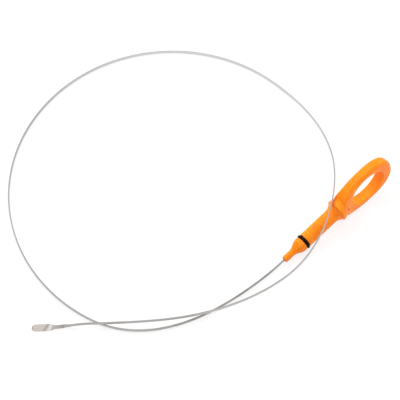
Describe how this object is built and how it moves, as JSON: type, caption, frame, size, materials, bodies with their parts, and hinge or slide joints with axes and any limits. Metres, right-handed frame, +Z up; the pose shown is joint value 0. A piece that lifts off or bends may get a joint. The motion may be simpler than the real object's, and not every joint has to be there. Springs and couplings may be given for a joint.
{
  "type": "engine oil dipstick",
  "caption": "Flat spring-steel gauge blade coiled in one loose turn, with a moulded finger-loop handle, a sealing ring and a twisted flat paddle tip for reading the oil level.",
  "frame": {"origin": "middle of the object's outline in plan, on the surface that it lies on", "axes": "+Z up from the surface, +X along the handle in plan, from the nose to the finger loop"},
  "size_m": [0.2592, 0.223, 0.0312],
  "materials": {
    "moulding": "smooth moulded, semi-gloss",
    "seal": "smooth",
    "steel": "rolled satin"
  },
  "bodies": {
    "root": {"handle": "moulding", "o_ring": "seal", "blade": "steel"}
  },
  "joints": []
}
